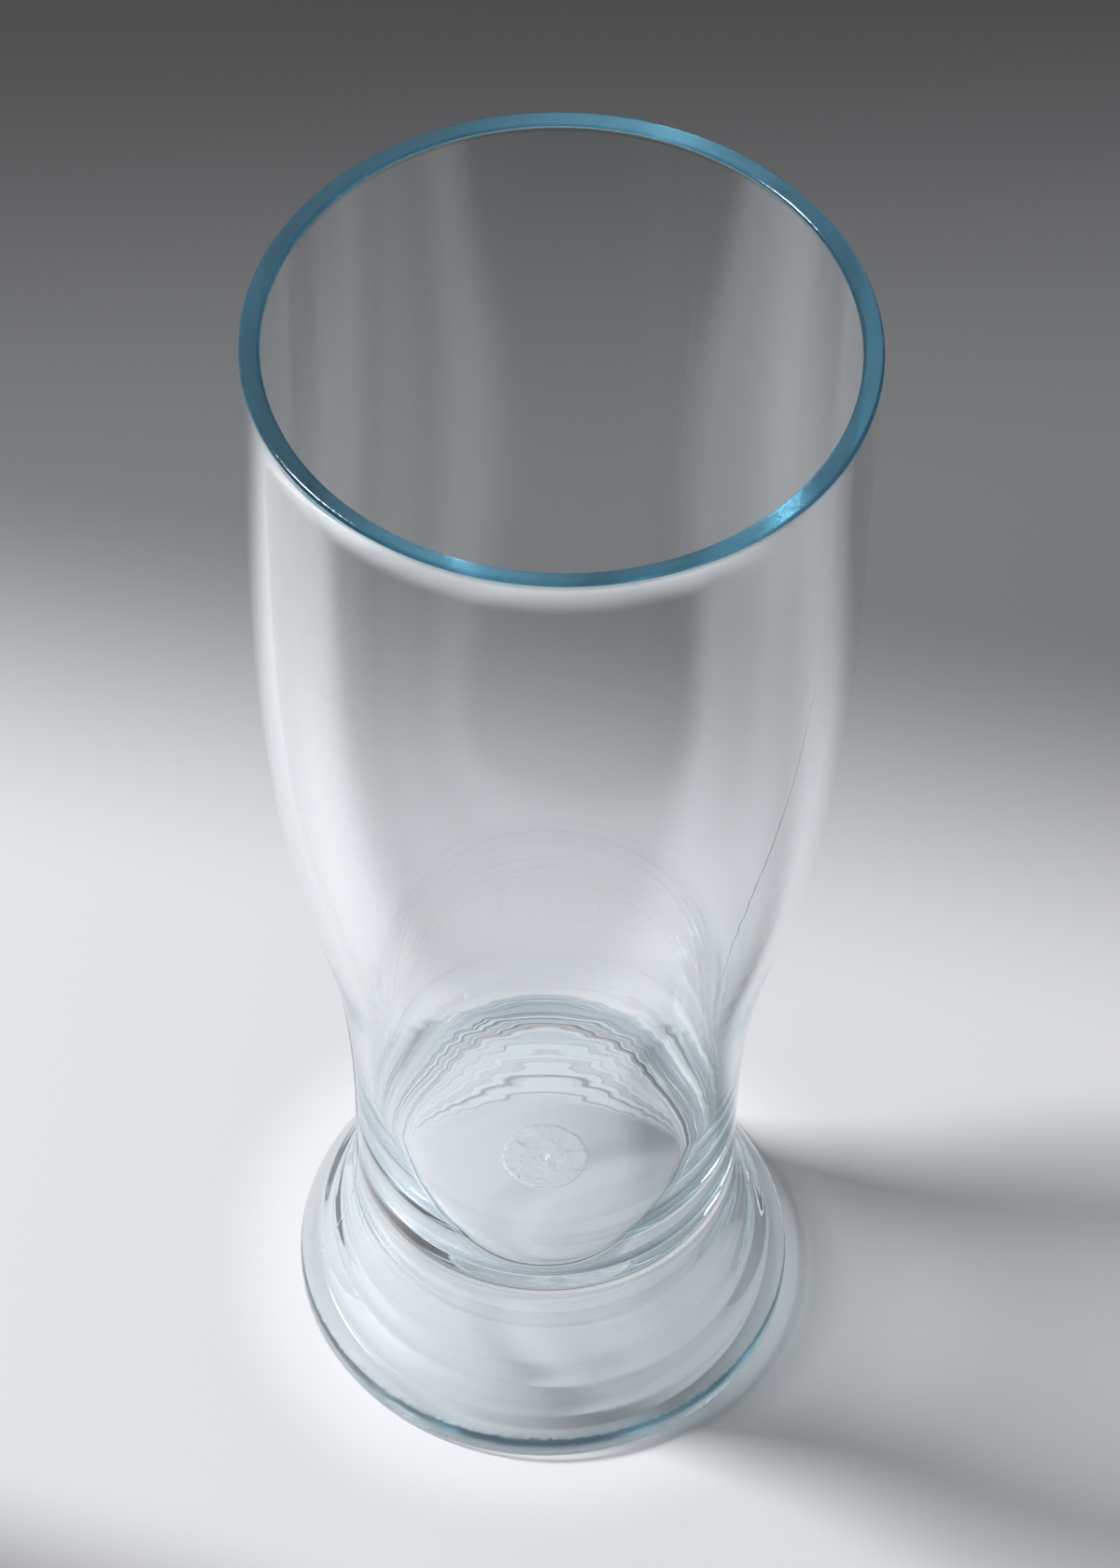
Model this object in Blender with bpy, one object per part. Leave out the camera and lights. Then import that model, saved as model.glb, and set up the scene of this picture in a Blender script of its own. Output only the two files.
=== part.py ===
"""Wheat beer glass: a tall flared bowl lapped into a hollow foot that flares out in soft rings.

Both pieces are turned about the +Z axis. The origin is the middle of the face the glass stands on.
An outline is a list of (radius, height) points in metres, and a corner is rounded by an arc.
"""
import math

import bpy

# Overall
GLASS_HEIGHT = 0.2136  # table to the top of the rim
SEGMENTS = 48  # facets round each piece

# Bowl
RIM_RADIUS = 0.0420  # outside of the straight upper wall
RIM_WALL = 0.0028  # even from the rim down to where the base thickens
RIM_ROUNDING = 0.0010
SHOULDER_DROP = 0.0404  # straight wall between the rim and the start of the taper
SHOULDER_HOLD = 0.0846  # pull that keeps the upper wall wide as it draws in
WAIST_RADIUS = 0.02935  # outside of the narrowest ring
WAIST_HEIGHT = 0.0425
WAIST_HOLD = 0.0608  # pull that keeps the lower wall narrow above the waist
FLOOR_HEIGHT = 0.0320  # inside floor above the table
FLOOR_THICKNESS = 0.0030
THICKENING_HEIGHT = 0.0600  # below this the wall grows towards the floor
FLOOR_WALL = 0.0050  # wall beside the inside floor
FLOOR_ROUNDING = 0.0045  # fillet between floor and wall
UNDERSIDE_ROUNDING = 0.0035  # fillet between the floor's underside and the hollow
GATE_RADIUS = 0.0065  # moulding mark under the middle of the floor
GATE_DEPTH = 0.0004

# Lap joint between bowl and foot
SEAM_DROP = 0.0035  # underside of the floor down to the outside seam
SPIGOT_DEPTH = 0.0040  # seam down to the spigot's end
SPIGOT_WALL = 0.0018
CLEARANCE = 0.0003  # gap between the two pieces, all round

# Foot
FOOT_RADIUS = 0.03865  # outside of its upright edge
FLARE_POWER = 3.0  # how late and how fast the outside flares on its way down from the waist
EDGE_HEIGHT = 0.0022
EDGE_ROUNDING = 0.0011
RINGS = 3  # soft rings above the edge, which stand less and less proud of the flare on its way up
RING_PITCH = 0.0050
RING_HEIGHT = 0.0010
FOOT_WALL = 0.0046  # wall of the foot at the waist
HOLLOW_FLARE = 0.00775  # how much wider the hollow is at the table than under the floor
HOLLOW_POWER = 2.0  # how late and how fast the hollow widens on its way down
HOLLOW_ROUNDING = 0.0012

# Facets along the outlines
FLANK_STEPS = 14
WAIST_STEPS = 4
FLARE_STEPS = 3
RING_STEPS = 6
HOLLOW_STEPS = 6
ARC_STEPS = 3

# Heights and radii that follow from the sizes above
FLOOR_UNDERSIDE = FLOOR_HEIGHT - FLOOR_THICKNESS
SEAM_HEIGHT = FLOOR_UNDERSIDE - SEAM_DROP
SPIGOT_END = SEAM_HEIGHT - SPIGOT_DEPTH
RINGS_TOP = EDGE_HEIGHT + RINGS * RING_PITCH
HOLLOW_TOP_RADIUS = WAIST_RADIUS - FOOT_WALL

GLASS_COLOUR = (0.86, 0.93, 0.96, 1.0)
GLASS_ROUGHNESS = 0.03
GLASS_IOR = 1.5


def rounded(corners, steps=ARC_STEPS):
    """Outline through (radius, height, rounding) corners, each rounded by an arc that fits its two sides."""
    outline = []
    for index, (radius, height, rounding) in enumerate(corners):
        if rounding == 0.0:
            outline.append((radius, height))
            continue
        before, after = corners[index - 1], corners[index + 1]
        to_before = (before[0] - radius, before[1] - height)
        to_after = (after[0] - radius, after[1] - height)
        side_before, side_after = math.hypot(*to_before), math.hypot(*to_after)
        angle_before = math.atan2(to_before[1], to_before[0])
        turn = math.atan2(to_after[1], to_after[0]) - angle_before
        turn = math.remainder(turn, math.tau)
        half = abs(turn) / 2
        setback = min(rounding / math.tan(half), side_before / 2, side_after / 2)
        arc_radius = setback * math.tan(half)
        middle = angle_before + turn / 2
        centre_distance = arc_radius / math.sin(half)
        centre = (radius + centre_distance * math.cos(middle), height + centre_distance * math.sin(middle))
        sweep = math.copysign(math.pi - abs(turn), -turn)
        first = angle_before - math.copysign(math.pi / 2, turn)
        for step in range(steps + 1):
            angle = first + sweep * step / steps
            across = centre[0] + arc_radius * math.cos(angle)
            up = centre[1] + arc_radius * math.sin(angle)
            outline.append((across, up))
    return outline


def levels(first, last, steps):
    """Even heights from just past the first to the last."""
    return [first + (last - first) * step / steps for step in range(1, steps + 1)]


def flank():
    """Outside of the bowl from the shoulder down to the waist: one cubic curve, upright at both ends."""
    shoulder = GLASS_HEIGHT - SHOULDER_DROP
    heights = (shoulder, shoulder - SHOULDER_HOLD, WAIST_HEIGHT + WAIST_HOLD, WAIST_HEIGHT)
    outline = []
    for step in range(FLANK_STEPS + 1):
        t = step / FLANK_STEPS
        weights = ((1 - t) ** 3, 3 * t * (1 - t) ** 2, 3 * t * t * (1 - t), t**3)
        lower_share = weights[2] + weights[3]
        radius = RIM_RADIUS + (WAIST_RADIUS - RIM_RADIUS) * lower_share
        outline.append((radius, sum(w * h for w, h in zip(weights, heights))))
    return outline


def flare_radius(height):
    """Outside radius between the waist, where the wall is upright, and the foot's edge."""
    fall = (WAIST_HEIGHT - height) / (WAIST_HEIGHT - EDGE_HEIGHT)
    turn = (height - EDGE_HEIGHT) / RING_PITCH
    ring = RING_HEIGHT * max(0.0, 1 - (turn / RINGS) ** 2) * abs(math.sin(math.pi * turn))
    return WAIST_RADIUS + (FOOT_RADIUS - WAIST_RADIUS) * fall**FLARE_POWER + ring


def hollow_radius(height):
    """Radius of the hollow that narrows up through the foot to the underside of the floor."""
    return HOLLOW_TOP_RADIUS + HOLLOW_FLARE * (1 - height / FLOOR_UNDERSIDE) ** HOLLOW_POWER


def wall_at(height):
    """Wall of the bowl: even from the rim down, then growing towards the floor along a parabola."""
    fall = max(0.0, THICKENING_HEIGHT - height) / (THICKENING_HEIGHT - FLOOR_HEIGHT)
    return RIM_WALL + (FLOOR_WALL - RIM_WALL) * fall**2


def bowl_outline():
    """From the middle of the floor up the inside, over the rim, down the outside and under the floor."""
    inside = [(radius - wall_at(height), height) for radius, height in reversed(flank())]
    fillet_top = FLOOR_HEIGHT + FLOOR_ROUNDING
    floor_radius = flare_radius(fillet_top) - wall_at(fillet_top)
    floor = rounded(
        [
            (0.0, FLOOR_HEIGHT, 0.0),
            (floor_radius, FLOOR_HEIGHT, FLOOR_ROUNDING),
            (*inside[0], 0.0),
        ]
    )[:-1]
    rim_inside = RIM_RADIUS - RIM_WALL
    rim = rounded(
        [
            (*inside[-1], 0.0),
            (rim_inside, GLASS_HEIGHT, RIM_ROUNDING),
            (RIM_RADIUS, GLASS_HEIGHT, RIM_ROUNDING),
            (*flank()[0], 0.0),
        ]
    )[1:-1]
    waist = [(flare_radius(height), height) for height in levels(WAIST_HEIGHT, SEAM_HEIGHT, WAIST_STEPS)]
    spigot_radius = hollow_radius(SEAM_HEIGHT) + SPIGOT_WALL
    underside = rounded(
        [
            (spigot_radius, SEAM_HEIGHT, 0.0),
            (spigot_radius, SPIGOT_END, 0.0),
            (hollow_radius(SPIGOT_END), SPIGOT_END, 0.0),
            (hollow_radius(FLOOR_UNDERSIDE), FLOOR_UNDERSIDE, UNDERSIDE_ROUNDING),
            (GATE_RADIUS, FLOOR_UNDERSIDE, 0.0),
            (GATE_RADIUS, FLOOR_UNDERSIDE + GATE_DEPTH, 0.0),
            (0.0, FLOOR_UNDERSIDE + GATE_DEPTH, 0.0),
        ]
    )
    return floor + inside + rim + flank() + waist + underside


def foot_outline():
    """From the seam down the flare and its rings, across the base and up the hollow to the socket."""
    top = SEAM_HEIGHT - CLEARANCE
    ledge = SPIGOT_END - CLEARANCE
    socket_radius = hollow_radius(SEAM_HEIGHT) + SPIGOT_WALL + CLEARANCE
    flare = [top] + levels(top, RINGS_TOP, FLARE_STEPS) + levels(RINGS_TOP, EDGE_HEIGHT, RINGS * RING_STEPS)
    corners = [(flare_radius(height), height, 0.0) for height in flare[:-1]]
    corners += [
        (FOOT_RADIUS, EDGE_HEIGHT, EDGE_ROUNDING),
        (FOOT_RADIUS, 0.0, EDGE_ROUNDING),
        (hollow_radius(0.0), 0.0, HOLLOW_ROUNDING),
    ]
    corners += [(hollow_radius(height), height, 0.0) for height in levels(0.0, ledge, HOLLOW_STEPS)]
    corners += [(socket_radius, ledge, 0.0), (socket_radius, top, 0.0)]
    return rounded(corners)


def glass_material(name):
    """Clear glass with a faint blue cast."""
    material = bpy.data.materials.new(name)
    material.use_nodes = True
    shader = material.node_tree.nodes["Principled BSDF"]
    shader.inputs["Base Color"].default_value = GLASS_COLOUR
    shader.inputs["Roughness"].default_value = GLASS_ROUGHNESS
    shader.inputs["Metallic"].default_value = 0.0
    shader.inputs["IOR"].default_value = GLASS_IOR
    shader.inputs["Transmission Weight"].default_value = 1.0
    return material


def turned(name, outline, closed):
    """A solid of revolution about +Z from an outline that runs down its outer side."""
    points = [(radius, 0.0, height) for radius, height in outline]
    edges = [(index, index + 1) for index in range(len(points) - 1)]
    if closed:
        edges.append((len(points) - 1, 0))
    mesh = bpy.data.meshes.new(name)
    mesh.from_pydata(points, edges, [])
    mesh.materials.append(glass_material(name + "_glass"))
    piece = bpy.data.objects.new(name, mesh)
    bpy.context.scene.collection.objects.link(piece)
    screw = piece.modifiers.new("turn", "SCREW")
    screw.axis = "Z"
    screw.steps = SEGMENTS
    screw.render_steps = SEGMENTS
    screw.use_merge_vertices = True
    screw.merge_threshold = 0.00001
    screw.use_smooth_shade = True
    return piece


def main():
    for leftover in list(bpy.data.objects):
        bpy.data.objects.remove(leftover)
    glass = bpy.data.objects.new("wheat_beer_glass", None)
    bpy.context.scene.collection.objects.link(glass)
    turned("bowl", bowl_outline(), closed=False).parent = glass
    turned("foot", foot_outline(), closed=True).parent = glass


main()
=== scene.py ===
"""Wheat beer glass: the turned bowl and foot in clear pressed glass, on a pale studio floor."""
import math
from functools import partial

import bmesh
import bpy
from bpy.props import FloatProperty, FloatVectorProperty, IntProperty, PointerProperty
from mathutils import Matrix, Vector


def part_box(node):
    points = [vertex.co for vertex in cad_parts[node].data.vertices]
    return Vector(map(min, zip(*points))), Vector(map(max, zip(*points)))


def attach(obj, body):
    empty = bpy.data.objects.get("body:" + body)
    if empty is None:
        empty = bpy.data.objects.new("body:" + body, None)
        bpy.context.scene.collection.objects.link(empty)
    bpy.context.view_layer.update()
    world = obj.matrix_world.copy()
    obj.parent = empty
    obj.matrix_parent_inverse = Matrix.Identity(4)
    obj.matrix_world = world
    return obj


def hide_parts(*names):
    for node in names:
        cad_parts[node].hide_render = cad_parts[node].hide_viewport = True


bl_info = {
    "name": "Wheat Beer Glass",
    "version": (1, 0, 0),
    "blender": (4, 5, 0),
    "location": "3D View > Sidebar > Beer Glass",
    "description": "Turns the bowl and the foot of a wheat beer glass, and sets its floor, light and camera",
    "category": "Object",
}

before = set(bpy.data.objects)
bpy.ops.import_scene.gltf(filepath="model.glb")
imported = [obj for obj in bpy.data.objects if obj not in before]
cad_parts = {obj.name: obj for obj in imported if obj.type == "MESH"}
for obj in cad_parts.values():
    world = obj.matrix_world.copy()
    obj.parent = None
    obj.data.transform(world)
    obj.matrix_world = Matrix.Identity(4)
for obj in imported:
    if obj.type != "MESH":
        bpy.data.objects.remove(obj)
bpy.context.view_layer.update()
BOWL_LOW, BOWL_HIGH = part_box("bowl")
GLASS_HEIGHT = BOWL_HIGH.z
RIM_RADIUS = BOWL_HIGH.x
SPIGOT_END = BOWL_LOW.z
FOOT_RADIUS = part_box("foot")[1].x
JOINT_OVERLAP = 0.00002  # the pieces melt into each other by this much, so that no air shows between them


def number(name, default, description, **limits):
    """A property without a unit, unless the limits name one."""
    return FloatProperty(name=name, description=description, default=default, **limits)


def length(name, default, description):
    """A property in metres."""
    return number(name, default, description, unit="LENGTH", precision=5)


def fraction(name, default, description):
    """A property between 0 and 1."""
    return number(name, default, description, min=0.0, max=1.0)


def bearing(name, degrees, description):
    """A property that holds an angle."""
    return number(name, math.radians(degrees), description, subtype="ANGLE")


def colour(name, default, description):
    """A property that holds a colour."""
    return FloatVectorProperty(
        name=name, description=description, default=default, size=3, subtype="COLOR", min=0.0, max=1.0
    )


class BowlSizes(bpy.types.PropertyGroup):
    """Sizes of the bowl."""

    rim_wall: length("Rim wall", 0.0028, "Wall from the rim down to where the base thickens")
    lip_ease: length("Lip ease", 0.0052, "Top of the outside over which the lip draws in at its worn side")
    lip_inset: length("Lip inset", 0.00066, "How far the lip draws in at its worn side")
    lip_inner: length("Lip inner rounding", 0.0006, "Rounding of the lip's inner edge")
    lip_outer: length("Lip outer rounding", 0.0005, "Rounding of the lip's outer edge")
    shoulder_drop: length("Shoulder drop", 0.0404, "Straight wall between the rim and the start of the taper")
    shoulder_hold: length("Shoulder hold", 0.0846, "Pull that keeps the upper wall wide as it draws in")
    waist_radius: length("Waist radius", 0.02935, "Outside of the narrowest ring")
    waist_height: length("Waist height", 0.0425, "Height of the narrowest ring")
    waist_hold: length("Waist hold", 0.0608, "Pull that keeps the lower wall narrow above the waist")
    floor_height: length("Floor height", 0.0320, "Inside floor above the table")
    floor_thickness: length("Floor thickness", 0.0030, "Glass between the inside floor and the hollow foot")
    thickening_height: length("Thickening height", 0.0600, "Below this the wall grows towards the floor")
    floor_wall: length("Floor wall", 0.0050, "Wall beside the inside floor")
    floor_rounding: length("Floor rounding", 0.0045, "Fillet between floor and wall")
    underside_rounding: length("Underside rounding", 0.0035, "Fillet between the floor and the hollow")
    gate_radius: length("Gate mark radius", 0.0066, "Round pressing mark in the middle of the floor")
    gate_depth: length("Gate mark depth", 0.00035, "Depth of the pressing mark")
    gate_tip: length("Gate tip", 0.0009, "Radius of the broken-off point in the middle of the pressing mark")
    seam_drop: length("Seam drop", 0.0035, "Underside of the floor down to the joint with the foot")
    spigot_wall: length("Spigot wall", 0.0018, "Wall of the spigot that laps into the foot")


class FootSizes(bpy.types.PropertyGroup):
    """Sizes of the foot."""

    flare_power: number("Flare power", 3.0, "How late and how fast the outside flares going down", min=1.0)
    edge_height: length("Edge height", 0.0022, "Upright edge at the widest part of the foot")
    edge_rounding: length("Edge rounding", 0.0011, "Rounding of that edge, above and below")
    rings: IntProperty(name="Rings", description="Soft rings above the edge", default=3, min=1)
    ring_pitch: length("Ring pitch", 0.0050, "Height of each ring")
    ring_height: length("Ring height", 0.0010, "How far the rings stand proud, less on the way up")
    wall: length("Foot wall", 0.0046, "Wall of the foot at the waist")
    hollow_flare: length("Hollow flare", 0.00775, "How much wider the hollow is at the table than at its top")
    hollow_power: number("Hollow power", 2.0, "How late and how fast the hollow widens going down", min=1.0)
    hollow_rounding: length("Hollow rounding", 0.0012, "Inner edge of the ring that the glass stands on")


class SkinSettings(bpy.types.PropertyGroup):
    """Mould marks and finish of the glass."""

    sides: IntProperty(name="Sides", description="Facets round each piece", default=400, min=48)
    parting_angle: bearing("Parting angle", 10.0, "Where the mould halves meet, from +X")
    parting_height: length("Parting height", 0.00012, "How far the parting line stands proud")
    parting_width: length("Parting width", 0.00022, "Half width of the parting line")
    worn_angle: bearing("Worn angle", -97.0, "Middle of the lip's worn side, from +X")
    absorption: number("Absorption", 6.0, "Red light lost in the glass, per metre", min=0.0)
    absorption_colour: colour("Absorption colour", (0.0, 0.55, 0.73), "Colour that thick glass turns to")
    clear_colour: colour("Clear colour", (0.995, 0.998, 1.0), "Colour of the clear glass")
    rim_colour: colour("Rim colour", (0.20, 0.38, 0.43), "Colour gathered in the lip")
    lip_stipple: length("Lip stipple", 0.000045, "Depth of the grain on top of the lip")
    gate_mottle: length("Gate mottle", 0.0009, "Depth of the uneven surface of the pressing mark")
    base_scuffs: length("Base scuffs", 0.000025, "Depth of the scuffs on the ring that the glass stands on")
    base_roughness: fraction("Base roughness", 0.12, "Roughness added on that ring")
    gate_roughness: fraction("Gate roughness", 0.75, "Roughness added on the pressing mark")
    lip_roughness: fraction("Lip roughness", 0.12, "Roughness added on top of the lip")


class StageSettings(bpy.types.PropertyGroup):
    """Floor, light and camera."""

    near_colour: colour("Near floor", (0.77, 0.78, 0.81), "Floor around the glass")
    # the middle and far floors are painted shade, darker away from the light
    middle_shade_colour: colour("Middle floor", (0.190, 0.195, 0.204), "Floor just behind the glass")
    far_shade_colour: colour("Far floor", (0.050, 0.050, 0.052), "Floor far behind the glass")
    floor_roughness: fraction("Floor roughness", 0.38, "Roughness of the floor")
    # the front shade is painted shade that darkens the floor in front of the glass
    front_shade: number("Front shade", 0.05, "Share of the floor's paleness left in front of the glass")
    # the foot glow is painted light: the floor is paler round the foot in place of the light that the foot
    # throws
    painted_foot_glow: number("Foot glow", 0.20, "Paleness that the foot adds by the light it throws round itself")
    key_power: number("Key power", 58.0, "Light from the left", unit="POWER")
    sky_low: number("Sky low", 0.08, "Strength of the dark side of the room")
    sky_high: number("Sky high", 0.55, "Strength of the pale side of the room")


class BeerGlassSettings(bpy.types.PropertyGroup):
    """Everything that a user would change."""

    bowl: PointerProperty(type=BowlSizes, name="Bowl", description="Sizes of the bowl")
    foot: PointerProperty(type=FootSizes, name="Foot", description="Sizes of the foot")
    skin: PointerProperty(type=SkinSettings, name="Skin", description="Mould marks and finish")
    stage: PointerProperty(type=StageSettings, name="Stage", description="Floor, light and camera")


# Outlines: lists of (radius, height) points, in metres

FLANK_STEPS = 56
WAIST_STEPS = 8
FLARE_STEPS = 92
HOLLOW_STEPS = 23
LIP_STEPS = 10
FILLET_STEPS = 16  # round the inside floor's fillet
ARC_STEPS = 10  # round every other corner


def levels(first, last, steps):
    """Even heights from the first to the last."""
    return [first + (last - first) * step / steps for step in range(steps + 1)]


def rounded(corners, steps=ARC_STEPS):
    """Outline through (radius, height, rounding) corners, each rounded by an arc that fits its two sides."""
    outline = []
    for index, (radius, height, rounding) in enumerate(corners):
        if rounding == 0.0:
            outline.append((radius, height))
            continue
        corner = Vector((radius, height))
        before = Vector(corners[index - 1][:2]) - corner
        after = Vector(corners[index + 1][:2]) - corner
        half = before.angle(after) / 2
        setback = min(rounding / math.tan(half), before.length / 2, after.length / 2)
        arc_radius = setback * math.tan(half)
        bisector = (before.normalized() + after.normalized()).normalized()
        centre = corner + bisector * (arc_radius / math.sin(half))
        first = corner + before.normalized() * setback - centre
        sweep = -first.angle_signed(corner + after.normalized() * setback - centre)
        for step in range(steps + 1):
            turn = Matrix.Rotation(sweep * step / steps, 2)
            outline.append(tuple(centre + turn @ first))
    return outline


def flank(bowl):
    """Outside of the bowl from the shoulder down to the waist: one cubic curve, upright at both ends."""
    shoulder = GLASS_HEIGHT - bowl.shoulder_drop
    waist = bowl.waist_height
    heights = (shoulder, shoulder - bowl.shoulder_hold, waist + bowl.waist_hold, waist)
    outline = []
    for step in range(FLANK_STEPS + 1):
        t = step / FLANK_STEPS
        weights = ((1 - t) ** 3, 3 * t * (1 - t) ** 2, 3 * t * t * (1 - t), t**3)
        radius = RIM_RADIUS + (bowl.waist_radius - RIM_RADIUS) * (weights[2] + weights[3])
        outline.append((radius, sum(w * h for w, h in zip(weights, heights))))
    return outline


def flare_radius(settings, height):
    """Outside radius between the waist, where the wall is upright, and the foot's edge."""
    bowl, foot = settings.bowl, settings.foot
    fall = (bowl.waist_height - height) / (bowl.waist_height - foot.edge_height)
    turn = (height - foot.edge_height) / foot.ring_pitch
    ring = foot.ring_height * max(0.0, 1 - (turn / foot.rings) ** 2) * abs(math.sin(math.pi * turn))
    return bowl.waist_radius + (FOOT_RADIUS - bowl.waist_radius) * fall**foot.flare_power + ring


def hollow_radius(settings, height):
    """Radius of the tapered hollow that runs up through the foot to the underside of the floor."""
    bowl, foot = settings.bowl, settings.foot
    underside = bowl.floor_height - bowl.floor_thickness
    return bowl.waist_radius - foot.wall + foot.hollow_flare * (1 - height / underside) ** foot.hollow_power


def wall_at(bowl, height):
    """Wall of the bowl: even from the rim down, then growing towards the floor along a parabola."""
    fall = max(0.0, bowl.thickening_height - height) / (bowl.thickening_height - bowl.floor_height)
    return bowl.rim_wall + (bowl.floor_wall - bowl.rim_wall) * fall**2


def lip_outline(bowl):
    """Over the lip and down to the foot of the part of the outside that is eased at its worn side."""
    ease = [(RIM_RADIUS, GLASS_HEIGHT - bowl.lip_ease * step / LIP_STEPS) for step in range(2, LIP_STEPS + 1)]
    lip = rounded(
        [
            (RIM_RADIUS - bowl.rim_wall, GLASS_HEIGHT - bowl.lip_ease, 0.0),
            (RIM_RADIUS - bowl.rim_wall, GLASS_HEIGHT, bowl.lip_inner),
            (RIM_RADIUS, GLASS_HEIGHT, bowl.lip_outer),
            (*ease[0], 0.0),
        ]
    )
    return lip[1:-1] + ease


def lip_shift(bowl, point):
    """How far a point of the outline draws in at the lip's worn side."""
    rise = point.y - (GLASS_HEIGHT - bowl.lip_ease)
    if rise < 0.0 or point.x < RIM_RADIUS - bowl.rim_wall / 2:
        return 0.0
    return bowl.lip_inset * (rise / bowl.lip_ease) ** 2


def bowl_outline(settings):
    """Inside from the middle of the floor up to the lip, outside down to the joint, and underside."""
    bowl = settings.bowl
    underside_height = bowl.floor_height - bowl.floor_thickness
    seam_height = underside_height - bowl.seam_drop
    fillet_top = bowl.floor_height + bowl.floor_rounding
    floor_radius = flare_radius(settings, fillet_top) - wall_at(bowl, fillet_top)
    inside = [(radius - wall_at(bowl, height), height) for radius, height in reversed(flank(bowl))]
    floor = rounded(
        [
            (0.0, bowl.floor_height, 0.0),
            (floor_radius / 3, bowl.floor_height, 0.0),
            (floor_radius, bowl.floor_height, bowl.floor_rounding),
            (floor_radius, fillet_top + bowl.floor_rounding, 0.0),
        ],
        steps=FILLET_STEPS,
    )[:-1]
    waist_heights = levels(bowl.waist_height, seam_height, WAIST_STEPS)[1:]
    waist = [(flare_radius(settings, height), height) for height in waist_heights]
    spigot_radius = hollow_radius(settings, seam_height) + bowl.spigot_wall
    gate_height = underside_height + bowl.gate_depth
    underside = rounded(
        [
            (spigot_radius, seam_height, 0.0),
            (spigot_radius, SPIGOT_END, 0.0),
            (hollow_radius(settings, SPIGOT_END), SPIGOT_END, 0.0),
            (hollow_radius(settings, underside_height), underside_height, bowl.underside_rounding),
            (bowl.gate_radius, underside_height, bowl.gate_depth),
            (bowl.gate_radius - bowl.gate_depth, gate_height, bowl.gate_depth),
            (bowl.gate_tip, gate_height, bowl.gate_depth),
            (0.0, gate_height - bowl.gate_tip / 2, 0.0),
        ]
    )
    return [(floor + inside + lip_outline(bowl), False), (flank(bowl) + waist, True), (underside, False)]


def foot_outline(settings):
    """Outside from the joint down to the edge, then the ring that it stands on, the hollow and the socket."""
    bowl, foot = settings.bowl, settings.foot
    seam_height = bowl.floor_height - bowl.floor_thickness - bowl.seam_drop
    top = seam_height + JOINT_OVERLAP
    ledge = SPIGOT_END + JOINT_OVERLAP
    socket_radius = hollow_radius(settings, seam_height) + bowl.spigot_wall - JOINT_OVERLAP
    flare_heights = levels(top, foot.edge_height, FLARE_STEPS)[:-1]
    flare = [(flare_radius(settings, height), height) for height in flare_heights]
    edge = rounded(
        [
            (*flare[-1], 0.0),
            (FOOT_RADIUS, foot.edge_height, foot.edge_rounding),
            (FOOT_RADIUS, 0.0, foot.edge_rounding),
            (hollow_radius(settings, 0.0), 0.0, 0.0),
        ]
    )
    hollow_heights = levels(2 * foot.hollow_rounding, ledge, HOLLOW_STEPS)
    hollow = [(hollow_radius(settings, height), height) for height in hollow_heights]
    ring = rounded(
        [
            (FOOT_RADIUS, 0.0, 0.0),
            (hollow_radius(settings, 0.0), 0.0, foot.hollow_rounding),
            (*hollow[0], 0.0),
        ]
    )
    joint = (socket_radius, top)
    inner = ring[1:-1] + hollow + [(socket_radius, ledge), joint]
    return [([joint], False), (flare + edge[1:-1], True), (inner, False)]


# Turning: a node tree that spins an outline round +Z and raises the mould's parting line

def add_node(tree, kind, inputs=(), **settings):
    """A node with its settings, its plain values and its links, given by input index or name."""
    node = tree.nodes.new(kind)
    for name, value in settings.items():
        setattr(node, name, value)
    for key, value in dict(inputs).items():
        if isinstance(value, bpy.types.NodeSocket):
            tree.links.new(value, node.inputs[key])
        else:
            node.inputs[key].default_value = value
    return node


def maths(tree, operation, first, second=0.0, third=0.0):
    """What a Math node puts out."""
    inputs = {0: first, 1: second, 2: third}
    return add_node(tree, "ShaderNodeMath", inputs, operation=operation).outputs[0]


def whole_maths(tree, operation, first, second):
    """What an Integer Math node puts out."""
    inputs = {0: first, 1: second}
    return add_node(tree, "FunctionNodeIntegerMath", inputs, operation=operation).outputs[0]


def ramp(tree, value, start, end, low=0.0, high=1.0, interpolation="LINEAR"):
    """A value that goes from low to high while another one goes from start to end."""
    inputs = {"Value": value, "From Min": start, "From Max": end, "To Min": low, "To Max": high}
    return add_node(tree, "ShaderNodeMapRange", inputs, interpolation_type=interpolation).outputs[0]


def soft_ramp(tree, value, start, end, low=0.0, high=1.0):
    """A ramp that eases in and out."""
    return ramp(tree, value, start, end, low, high, interpolation="SMOOTHSTEP")


TURNING_INPUTS = (
    ("Sides", "NodeSocketInt"),
    ("Parting Angle", "NodeSocketFloat"),
    ("Parting Height", "NodeSocketFloat"),
    ("Parting Width", "NodeSocketFloat"),
    ("Worn Angle", "NodeSocketFloat"),
    ("Material", "NodeSocketMaterial"),
)
PARTING_TOP, PARTING_FADE = 0.150, 0.045  # the parting line dies out by this height, over this length
PARTING_FOOT = 0.0011  # and again between twice this height and this height, before it meets the table
WORN_REACH = math.radians(62.0)  # the lip's worn side reaches this far to both sides
FOOT_PARTING = 0.4  # on the foot the parting line stands this share as proud
SEAM_CROWDING = 0.85  # share by which the facets draw together at the two parting lines
MERGE_DISTANCE = 0.000001
GUARD_DISTANCE = 0.00006  # a row this close to a rounding keeps the side beside it straight to the eye
GUARD_LEAST = 8  # a side shorter than this many of those distances needs no such row
GUARD_CONTRAST = 3  # nor does one less than this many times as long as its neighbour
SHARP_ANGLE = math.radians(50.0)  # an edge that turns more than this isn't shaded smooth


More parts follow.
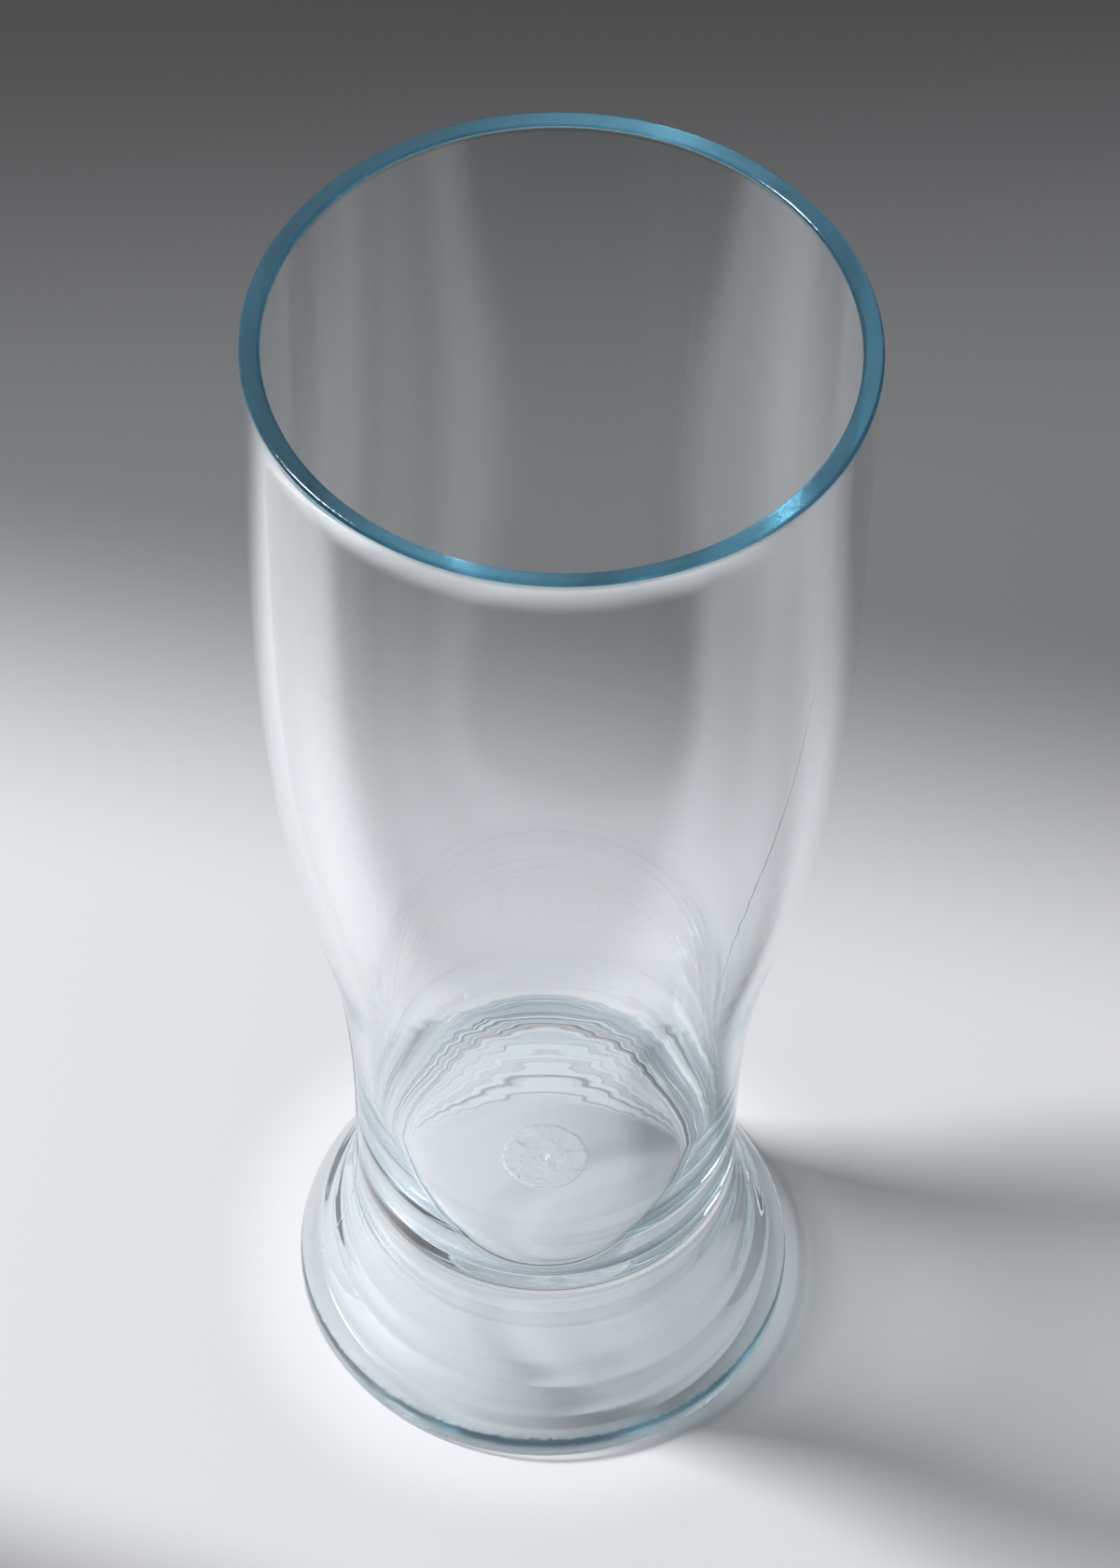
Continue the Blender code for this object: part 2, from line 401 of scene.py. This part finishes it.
def turning_tree():
    """The tree that every turned piece uses."""
    tree = bpy.data.node_groups.new("turn_outline", "GeometryNodeTree")
    tree.interface.new_socket("Geometry", in_out="INPUT", socket_type="NodeSocketGeometry")
    for name, kind in TURNING_INPUTS:
        tree.interface.new_socket(name, in_out="INPUT", socket_type=kind)
    tree.interface.new_socket("Geometry", in_out="OUTPUT", socket_type="NodeSocketGeometry")
    given = tree.nodes.new("NodeGroupInput").outputs
    rows = add_node(tree, "GeometryNodeAttributeDomainSize", {0: given["Geometry"]}).outputs["Point Count"]
    columns = whole_maths(tree, "ADD", given["Sides"], 1)
    grid = add_node(tree, "GeometryNodeMeshGrid", {"Vertices X": rows, "Vertices Y": columns}).outputs["Mesh"]
    index = tree.nodes.new("GeometryNodeInputIndex").outputs[0]
    row = whole_maths(tree, "DIVIDE_FLOOR", index, columns)
    column = whole_maths(tree, "MODULO", index, columns)

    def sampled(field):
        inputs = {"Geometry": given["Geometry"], "Value": field, "Index": row}
        sample = add_node(tree, "GeometryNodeSampleIndex", inputs, data_type="FLOAT_VECTOR")
        return add_node(tree, "ShaderNodeSeparateXYZ", {0: sample.outputs[0]}).outputs

    point = sampled(tree.nodes.new("GeometryNodeInputPosition").outputs[0])
    lift = add_node(tree, "GeometryNodeInputNamedAttribute", {"Name": "lift"}, data_type="FLOAT_VECTOR")
    raised = sampled(lift.outputs[0])  # X and Z: the way the parting line rises; Y: how far the lip draws in
    even = maths(tree, "MULTIPLY", maths(tree, "DIVIDE", column, given["Sides"]), math.tau)
    from_seam = maths(tree, "SUBTRACT", even, given["Parting Angle"])
    crowd = maths(tree, "SINE", maths(tree, "MULTIPLY", from_seam, 2.0))
    angle = maths(tree, "MULTIPLY_ADD", crowd, -SEAM_CROWDING / 2, even)
    past_seam = maths(tree, "SUBTRACT", angle, given["Parting Angle"])
    offset = maths(tree, "WRAP", past_seam, math.pi / 2, -math.pi / 2)
    distance = maths(tree, "DIVIDE", maths(tree, "MULTIPLY", offset, point["X"]), given["Parting Width"])
    squared = maths(tree, "MULTIPLY", distance, distance)
    ridge = maths(tree, "EXPONENT", maths(tree, "MULTIPLY", squared, -1.0))
    height = maths(tree, "MULTIPLY", ridge, given["Parting Height"])
    facing_worn = maths(tree, "COSINE", maths(tree, "SUBTRACT", angle, given["Worn Angle"]))
    worn = soft_ramp(tree, facing_worn, math.cos(WORN_REACH), math.cos(WORN_REACH / 4))
    eased = maths(tree, "SUBTRACT", point["X"], maths(tree, "MULTIPLY", raised["Y"], worn))
    radius = maths(tree, "MULTIPLY_ADD", raised["X"], height, eased)
    level = maths(tree, "MULTIPLY_ADD", raised["Z"], height, point["Z"])
    place = add_node(
        tree,
        "ShaderNodeCombineXYZ",
        {
            "X": maths(tree, "MULTIPLY", radius, maths(tree, "COSINE", angle)),
            "Y": maths(tree, "MULTIPLY", radius, maths(tree, "SINE", angle)),
            "Z": level,
        },
    ).outputs[0]
    turned = grid
    for kind, inputs in (
        ("GeometryNodeSetPosition", {"Position": place}),
        ("GeometryNodeMergeByDistance", {"Distance": MERGE_DISTANCE}),
        ("GeometryNodeSetShadeSmooth", {}),
        ("GeometryNodeRealizeInstances", {}),
        ("GeometryNodeSetMaterial", {"Material": given["Material"]}),
    ):
        turned = add_node(tree, kind, {"Geometry": turned, **inputs}).outputs[0]
    tree.links.new(turned, tree.nodes.new("NodeGroupOutput").inputs["Geometry"])
    return tree


def guarded(stretches):
    """(point, is outside) along an outline, with a guard by each end of a long side beside a short one."""
    path = []
    for stretch, is_outside in stretches:
        for point in stretch:
            if not path or (Vector(point) - path[-1][0]).length > MERGE_DISTANCE:
                path.append((Vector(point), is_outside))
    sides = [(after[0] - before[0]).length for before, after in zip(path, path[1:])]
    guarded_path = []
    for index, (point, is_outside) in enumerate(path):
        guarded_path.append((point, is_outside))
        if index == len(sides) or sides[index] < GUARD_LEAST * GUARD_DISTANCE:
            continue
        step = (path[index + 1][0] - point).normalized() * GUARD_DISTANCE
        if index > 0 and sides[index - 1] < sides[index] / GUARD_CONTRAST:
            guarded_path.append((point + step, is_outside))
        if index + 1 < len(sides) and sides[index + 1] < sides[index] / GUARD_CONTRAST:
            guarded_path.append((path[index + 1][0] - step, is_outside))
    return guarded_path


def outline_mesh(name, stretches, shift=None):
    """Points of an outline, each with the way that the parting line rises, or how far the lip draws in."""
    path = guarded(stretches)
    points = [point for point, _ in path]
    mesh = bpy.data.meshes.new(name)
    mesh.from_pydata([(point.x, 0.0, point.y) for point in points], [], [])
    lift = mesh.attributes.new("lift", "FLOAT_VECTOR", "POINT")
    for index, (_, is_outside) in enumerate(path):
        if is_outside:
            along = (points[min(index + 1, len(points) - 1)] - points[index - 1]).normalized()
            below_top = (PARTING_TOP - points[index].y) / PARTING_FADE
            above_table = points[index].y / PARTING_FOOT - 1.0
            share = min(max(min(below_top, above_table), 0.0), 1.0)
            lift.data[index].vector = (-along.y * share, 0.0, along.x * share)
        elif shift:
            lift.data[index].vector = (0.0, shift(points[index]), 0.0)
    return mesh


def check_closed(mesh):
    """Stops if a turned piece has an open edge or faces that point in."""
    shape = bmesh.new()
    shape.from_mesh(mesh)
    sound = all(edge.is_manifold for edge in shape.edges) and shape.calc_volume(signed=True) > 0.0
    shape.free()
    if not sound:
        raise RuntimeError(mesh.name + " is open or inside out")


def turned_piece(name, stretches, material, skin, proud=1.0, shift=None):
    """A plain mesh turned from an outline, with its faces pointing out."""
    outline = bpy.data.objects.new(name + "_outline", outline_mesh(name + "_outline", stretches, shift))
    bpy.context.scene.collection.objects.link(outline)
    modifier = outline.modifiers.new("turn", "NODES")
    modifier.node_group = bpy.data.node_groups.get("turn_outline") or turning_tree()
    height = proud * skin.parting_height
    values = (skin.sides, skin.parting_angle, height, skin.parting_width, skin.worn_angle, material)
    for (socket, _), value in zip(TURNING_INPUTS, values):
        modifier[modifier.node_group.interface.items_tree[socket].identifier] = value
    graph = bpy.context.evaluated_depsgraph_get()
    mesh = bpy.data.meshes.new_from_object(outline.evaluated_get(graph))
    bpy.data.objects.remove(outline)
    mesh.name = name
    mesh.materials.clear()
    mesh.materials.append(material)
    check_closed(mesh)
    mesh.set_sharp_from_angle(angle=SHARP_ANGLE)
    piece = bpy.data.objects.new(name, mesh)
    bpy.context.scene.collection.objects.link(piece)
    return piece


# Glass

RING_SCALE, STREAK_SCALE, SWAY_SCALE = 240.0, 90.0, 45.0
STREAK_STRETCH = 0.06  # along the height the streaks change this share as fast as across
RING_FADE = 0.7  # above this share of their reach the rings die away
NOISE_ROUGHNESS = 0.6
MARK_DETAIL = 6.0
MARK_START, MARK_FULL = 0.50, 0.80  # noise values between which a mark of handling sets in
GLASS_IOR = 1.5
BOWL_RIPPLES = {
    "Ring Depth": 0.000005,
    "Ring Reach": 0.150,
    "Streak Depth": 0.000012,
    "Sway Depth": 0.000020,
    "Scuff Scale": 60.0,
}
FOOT_RIPPLES = {
    "Ring Depth": 0.0,
    "Ring Reach": 0.030,
    "Streak Depth": 0.000006,
    "Sway Depth": 0.000010,
    "Scuff Scale": 90.0,
}
BOWL_WEAR, FOOT_WEAR = 0.05, 0.10  # roughness of the marks of handling
BASE_TOP = 0.045  # below this the thick glass gathers the light that it lets through
WALL_BOTTOM = 1.3 * BASE_TOP  # and above this the wall lets less through
BASE_PASSES, WALL_PASSES = 0.99, 0.90  # shares of the light that get through there
SLANT_POWER = 3.0  # how late and how fast light is lost as the glass turns away from it
LIP_COLOUR_START, LIP_COLOUR_FULL = 0.0012, 0.0004  # depths below the top where the lip takes on its colour
LIP_GRAIN_START, LIP_GRAIN_FULL = 0.0008, 0.0002  # and its grain
SCUFFS_START, SCUFFS_FULL = 0.0010, 0.0002  # heights above the table where the scuffs of the base set in
LIP_FINENESS, BASE_FINENESS, GATE_FINENESS = 1300.0, 700.0, 420.0  # scales of their grain
GRAIN_DETAIL = 3.0


def object_place(tree):
    """The place of a point in its object's own space, whole and as X, Y and Z."""
    place = tree.nodes.new("ShaderNodeTexCoord").outputs["Object"]
    return place, add_node(tree, "ShaderNodeSeparateXYZ", {0: place}).outputs


def from_axis(tree, place):
    """Distance of a place from the axis of the glass."""
    flat = add_node(tree, "ShaderNodeVectorMath", {0: place, 1: (1.0, 1.0, 0.0)}, operation="MULTIPLY")
    return add_node(tree, "ShaderNodeVectorMath", {0: flat.outputs[0]}, operation="LENGTH").outputs["Value"]


def blend_colours(tree, factor, first, second):
    """A colour that goes from the first to the second as the factor goes from 0 to 1."""
    inputs = {"Factor": factor, "A": first, "B": second}
    return add_node(tree, "ShaderNodeMix", inputs, data_type="RGBA").outputs["Result"]


def glass_group():
    """Surface of pressed glass: rings low on the wall, upright streaks, a slow sway and marks of handling."""
    group = bpy.data.node_groups.new("pressed_surface", "ShaderNodeTree")
    for name in BOWL_RIPPLES:
        group.interface.new_socket(name, in_out="INPUT", socket_type="NodeSocketFloat")
    for name in ("Ripple", "Marks"):
        group.interface.new_socket(name, in_out="OUTPUT", socket_type="NodeSocketFloat")
    given = group.nodes.new("NodeGroupInput").outputs
    place, axes = object_place(group)

    def noise(scale, stretch=1.0, detail=1.0):
        inputs = {"Vector": place, "Scale": (1.0, 1.0, stretch)}
        lengthened = add_node(group, "ShaderNodeMapping", inputs).outputs[0]
        inputs = {"Vector": lengthened, "Scale": scale, "Detail": detail, "Roughness": NOISE_ROUGHNESS}
        return add_node(group, "ShaderNodeTexNoise", inputs).outputs[0]

    inputs = {"W": axes["Z"], "Scale": RING_SCALE, "Detail": 0.0}
    rings = add_node(group, "ShaderNodeTexNoise", inputs, noise_dimensions="1D").outputs[0]
    low = soft_ramp(group, maths(group, "DIVIDE", axes["Z"], given["Ring Reach"]), 1.0, RING_FADE)
    streaks = noise(STREAK_SCALE, stretch=STREAK_STRETCH)
    ripple = maths(group, "MULTIPLY", maths(group, "MULTIPLY", rings, low), given["Ring Depth"])
    ripple = maths(group, "MULTIPLY_ADD", streaks, given["Streak Depth"], ripple)
    ripple = maths(group, "MULTIPLY_ADD", noise(SWAY_SCALE), given["Sway Depth"], ripple)
    marks = ramp(group, noise(given["Scuff Scale"], detail=MARK_DETAIL), MARK_START, MARK_FULL)
    out = group.nodes.new("NodeGroupOutput").inputs
    group.links.new(ripple, out["Ripple"])
    group.links.new(marks, out["Marks"])
    return group


def glass_material(name, skin, ripples, wear):
    """Clear glass: faintly blue where it is thick, rippled by its mould and a little handled."""
    material = bpy.data.materials.new(name)
    material.use_nodes = True
    tree = material.node_tree
    shader = tree.nodes["Principled BSDF"]
    shader.inputs["Base Color"].default_value = (*skin.clear_colour, 1.0)
    shader.inputs["Metallic"].default_value = 0.0
    shader.inputs["IOR"].default_value = GLASS_IOR
    shader.inputs["Transmission Weight"].default_value = 1.0
    pressed = bpy.data.node_groups.get("pressed_surface") or glass_group()
    surface = add_node(tree, "ShaderNodeGroup", node_tree=pressed)
    for socket, value in ripples.items():
        surface.inputs[socket].default_value = value
    rough = maths(tree, "MULTIPLY", surface.outputs["Marks"], wear)
    tree.links.new(rough, shader.inputs["Roughness"])
    bump = add_node(tree, "ShaderNodeBump", {"Distance": 1.0, "Height": surface.outputs["Ripple"]})
    tree.links.new(bump.outputs[0], shader.inputs["Normal"])
    inputs = {"Color": (*skin.absorption_colour, 1.0), "Density": skin.absorption}
    absorb = add_node(tree, "ShaderNodeVolumeAbsorption", inputs)
    tree.links.new(absorb.outputs[0], tree.nodes["Material Output"].inputs["Volume"])
    let_light_through(tree)
    return material


def let_light_through(tree):
    """Lets lamps shine through the glass onto the floor, less at a slant, as the real glass does."""
    path = tree.nodes.new("ShaderNodeLightPath").outputs
    slant = add_node(tree, "ShaderNodeLayerWeight", {"Blend": 0.5}).outputs["Facing"]
    _, axes = object_place(tree)
    share = ramp(tree, axes["Z"], BASE_TOP, WALL_BOTTOM, BASE_PASSES, WALL_PASSES)
    straight = maths(tree, "SUBTRACT", 1.0, maths(tree, "POWER", slant, SLANT_POWER))
    passed = maths(tree, "MULTIPLY", straight, share)
    passed = maths(tree, "MAXIMUM", passed, path["Is Diffuse Ray"])
    clear = add_node(tree, "ShaderNodeBsdfTransparent", {"Color": passed}).outputs[0]
    lit = maths(tree, "MAXIMUM", path["Is Shadow Ray"], path["Is Diffuse Ray"])
    glass = tree.nodes["Principled BSDF"].outputs[0]
    mix = add_node(tree, "ShaderNodeMixShader", {0: lit, 1: glass, 2: clear})
    tree.links.new(mix.outputs[0], tree.nodes["Material Output"].inputs["Surface"])


def roughen(tree, mask, fineness, depth, roughness):
    """Adds a grain to the ripples of a glass, and some roughness, where the mask is 1."""
    shader = tree.nodes["Principled BSDF"]
    place, _ = object_place(tree)
    inputs = {"Vector": place, "Scale": fineness, "Detail": GRAIN_DETAIL}
    grain = add_node(tree, "ShaderNodeTexNoise", inputs).outputs[0]
    bump = shader.inputs["Normal"].links[0].from_node
    ripple = bump.inputs["Height"].links[0].from_socket
    rise = maths(tree, "MULTIPLY", grain, maths(tree, "MULTIPLY", mask, depth))
    tree.links.new(maths(tree, "ADD", ripple, rise), bump.inputs["Height"])
    worn = shader.inputs["Roughness"].links[0].from_socket
    tree.links.new(maths(tree, "MULTIPLY_ADD", mask, roughness, worn), shader.inputs["Roughness"])


def finish_lip(material, skin):
    """Gathers colour in the lip, where light that has run up the wall comes out, and stipples its top."""
    tree = material.node_tree
    _, axes = object_place(tree)
    mask = ramp(tree, axes["Z"], GLASS_HEIGHT - LIP_COLOUR_START, GLASS_HEIGHT - LIP_COLOUR_FULL)
    tint = blend_colours(tree, mask, (*skin.clear_colour, 1.0), (*skin.rim_colour, 1.0))
    tree.links.new(tint, tree.nodes["Principled BSDF"].inputs["Base Color"])
    top = ramp(tree, axes["Z"], GLASS_HEIGHT - LIP_GRAIN_START, GLASS_HEIGHT - LIP_GRAIN_FULL)
    roughen(tree, top, LIP_FINENESS, skin.lip_stipple, skin.lip_roughness)


def scuff_base(material, skin):
    """Scuffs the ring that the glass stands on."""
    tree = material.node_tree
    _, axes = object_place(tree)
    low = ramp(tree, axes["Z"], SCUFFS_START, SCUFFS_FULL)
    roughen(tree, low, BASE_FINENESS, skin.base_scuffs, skin.base_roughness)


def frost_gate(material, settings):
    """Frosts the pressing mark under the middle of the floor."""
    bowl, skin = settings.bowl, settings.skin
    tree = material.node_tree
    place, axes = object_place(tree)
    inside = maths(tree, "LESS_THAN", from_axis(tree, place), bowl.gate_radius)
    below = maths(tree, "LESS_THAN", axes["Z"], bowl.floor_height - bowl.floor_thickness / 2)
    mark = maths(tree, "MULTIPLY", inside, below)
    roughen(tree, mark, GATE_FINENESS, skin.gate_mottle, skin.gate_roughness)


# Floor

FLOOR_HALF = 3.0
FLOOR_DROP = 0.0003  # the floor lies this far under the foot
FLOOR_SLANT, FLOOR_FAR_SLANT = 0.165, -0.12  # slopes of its near and far painted shades across the view
FRONT_SLANT = 0.3  # and of the painted shade across its front
FRONT_PALE, FRONT_DARK = -0.064, -0.105  # depths before the glass where the floor darkens again, in painted shade
FLOOR_NEAR, FLOOR_MIDDLE, FLOOR_FADE = 0.056, 0.149, 0.300  # depths behind the glass where its painted shades change, the floor darkening away from the light
GLOW_RISE, GLOW_REACH = 0.002, 0.016  # widths in which the painted light round the foot comes up and dies away


def floor_material(stage):
    """A floor that is pale round the glass, with painted light palest by its foot, and painted shade that
    darkens it behind and before the glass.
    """
    material = bpy.data.materials.new("floor")
    material.use_nodes = True
    tree = material.node_tree
    shader = tree.nodes["Principled BSDF"]
    shader.inputs["Roughness"].default_value = stage.floor_roughness
    place, axes = object_place(tree)

    def depth(slant):
        return maths(tree, "MULTIPLY_ADD", axes["X"], slant, axes["Y"])

    # painted shade: the floor's colour darkens from near to middle to far behind the glass
    middle = soft_ramp(tree, depth(FLOOR_FAR_SLANT), FLOOR_FADE, FLOOR_MIDDLE)
    paint = blend_colours(tree, middle, (*stage.far_shade_colour, 1.0), (*stage.middle_shade_colour, 1.0))
    near = soft_ramp(tree, depth(FLOOR_SLANT), FLOOR_MIDDLE, FLOOR_NEAR)
    paint = blend_colours(tree, near, paint, (*stage.near_colour, 1.0))
    # painted shade that darkens the floor in front of the glass
    front = soft_ramp(tree, depth(FRONT_SLANT), FRONT_DARK, FRONT_PALE, low=stage.front_shade)
    # painted light: a pale band round the foot stands in for the light that the foot throws round itself
    radius = from_axis(tree, place)
    glow = stage.painted_foot_glow
    for start in (FOOT_RADIUS - GLOW_RISE, FOOT_RADIUS + GLOW_REACH):
        glow = maths(tree, "MULTIPLY", soft_ramp(tree, radius, start, FOOT_RADIUS), glow)
    front = maths(tree, "MULTIPLY_ADD", front, glow, front)
    shade = add_node(tree, "ShaderNodeVectorMath", {0: paint, 1: front}, operation="MULTIPLY")
    tree.links.new(shade.outputs["Vector"], shader.inputs["Base Color"])
    return material


# Operators

class TurnBowl(bpy.types.Operator):
    """Turn the bowl, from its inside floor to its lip and down to the joint with the foot"""

    bl_idname = "beer_glass.turn_bowl"
    bl_label = "Turn Bowl"

    def execute(self, context):
        settings = context.scene.beer_glass
        material = glass_material("bowl_glass", settings.skin, BOWL_RIPPLES, BOWL_WEAR)
        finish_lip(material, settings.skin)
        frost_gate(material, settings)
        shift = partial(lip_shift, settings.bowl)
        bowl = turned_piece("glass_bowl", bowl_outline(settings), material, settings.skin, shift=shift)
        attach(bowl, "root")
        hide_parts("bowl")
        return {"FINISHED"}


class TurnFoot(bpy.types.Operator):
    """Turn the hollow, flared foot that the bowl laps into"""

    bl_idname = "beer_glass.turn_foot"
    bl_label = "Turn Foot"

    def execute(self, context):
        settings = context.scene.beer_glass
        material = glass_material("foot_glass", settings.skin, FOOT_RIPPLES, FOOT_WEAR)
        scuff_base(material, settings.skin)
        foot = turned_piece("glass_foot", foot_outline(settings), material, settings.skin, FOOT_PARTING)
        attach(foot, "root")
        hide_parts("foot")
        return {"FINISHED"}


CAMERA_PLACE = Vector((0.00104, -0.4947, 0.7496))
CAMERA_PITCH = math.radians(51.815)  # below the horizon
CAMERA_ROLL = math.radians(1.278)
SENSOR_HEIGHT = 36.0
LENS = 128.57
CLIP_START = 0.01
BOUNCES = 128  # light crosses many walls of glass before it gets out
KEY_PLACE = Vector((-1.445, 0.307, 1.951))
KEY_AIM = Vector((0.0, 0.0, 0.06))
KEY_SIZE = 0.38
ROOM_PALE_SIDE = Vector((-0.35, 0.72, 0.60))
ROOM_PALE_EDGE = 0.6  # cosine of the angle from there beyond which the room is dark


class SetStage(bpy.types.Operator):
    """Lay the floor, set the light and place the camera"""

    bl_idname = "beer_glass.set_stage"
    bl_label = "Set Stage"

    def execute(self, context):
        stage = context.scene.beer_glass.stage
        self.lay_floor(context, stage)
        self.paint_room(context, stage)
        self.hang_light(context, stage)
        self.place_camera(context)
        return {"FINISHED"}

    def lay_floor(self, context, stage):
        """One wide square."""
        signs = ((-1, -1), (1, -1), (1, 1), (-1, 1))
        corners = [(x * FLOOR_HALF, y * FLOOR_HALF, -FLOOR_DROP) for x, y in signs]
        mesh = bpy.data.meshes.new("floor")
        mesh.from_pydata(corners, [], [(0, 1, 2, 3)])
        mesh.materials.append(floor_material(stage))
        floor = bpy.data.objects.new("floor", mesh)
        context.scene.collection.objects.link(floor)

    def paint_room(self, context, stage):
        """A dark room with one pale side."""
        world = bpy.data.worlds.new("room")
        world.use_nodes = True
        context.scene.world = world
        tree = world.node_tree
        look = tree.nodes.new("ShaderNodeTexCoord").outputs["Generated"]
        inputs = {0: look, 1: ROOM_PALE_SIDE.normalized()}
        facing = add_node(tree, "ShaderNodeVectorMath", inputs, operation="DOT_PRODUCT").outputs["Value"]
        strength = soft_ramp(tree, facing, ROOM_PALE_EDGE, 1.0, stage.sky_low, stage.sky_high)
        tree.links.new(strength, tree.nodes["Background"].inputs["Strength"])
        tree.nodes["Background"].inputs["Color"].default_value = (1.0, 1.0, 1.0, 1.0)

    def hang_light(self, context, stage):
        """One square lamp high on the left."""
        lamp = bpy.data.lights.new("key_light", "AREA")
        lamp.shape = "SQUARE"
        lamp.size = KEY_SIZE
        lamp.energy = stage.key_power
        light = bpy.data.objects.new("key_light", lamp)
        light.location = KEY_PLACE
        light.rotation_euler = (KEY_AIM - KEY_PLACE).to_track_quat("-Z", "Y").to_euler()
        context.scene.collection.objects.link(light)

    def place_camera(self, context):
        """The photo's view, with enough bounces for light to get through the glass."""
        lens = bpy.data.cameras.new("camera")
        lens.sensor_fit = "VERTICAL"
        lens.sensor_height = SENSOR_HEIGHT
        lens.lens = LENS
        lens.clip_start = CLIP_START
        camera = bpy.data.objects.new("camera", lens)
        look_down = Matrix.Rotation(math.pi / 2 - CAMERA_PITCH, 4, "X")
        roll = Matrix.Rotation(CAMERA_ROLL, 4, "Z")
        camera.matrix_world = Matrix.Translation(CAMERA_PLACE) @ look_down @ roll
        context.scene.collection.objects.link(camera)
        context.scene.camera = camera
        context.scene.view_settings.view_transform = "Standard"
        cycles = context.scene.cycles
        cycles.max_bounces = BOUNCES
        cycles.transmission_bounces = BOUNCES
        cycles.glossy_bounces = BOUNCES


class BeerGlassPanel(bpy.types.Panel):
    """Sizes and steps of the glass"""

    bl_idname = "VIEW3D_PT_beer_glass"
    bl_label = "Wheat Beer Glass"
    bl_space_type = "VIEW_3D"
    bl_region_type = "UI"
    bl_category = "Beer Glass"

    def draw(self, context):
        settings = context.scene.beer_glass
        for step in STEPS:
            self.layout.operator(step.bl_idname)
        for group in (settings.bowl, settings.foot, settings.skin, settings.stage):
            box = self.layout.box()
            for name in group.__annotations__:
                box.prop(group, name)


STEPS = (TurnBowl, TurnFoot, SetStage)
CLASSES = (BowlSizes, FootSizes, SkinSettings, StageSettings, BeerGlassSettings, *STEPS, BeerGlassPanel)


def register():
    for each in CLASSES:
        bpy.utils.register_class(each)
    bpy.types.Scene.beer_glass = PointerProperty(type=BeerGlassSettings)


def unregister():
    del bpy.types.Scene.beer_glass
    for each in reversed(CLASSES):
        bpy.utils.unregister_class(each)


def main():
    register()
    bpy.ops.beer_glass.turn_bowl()
    bpy.ops.beer_glass.turn_foot()
    bpy.ops.beer_glass.set_stage()


if __name__ == "__main__":
    main()
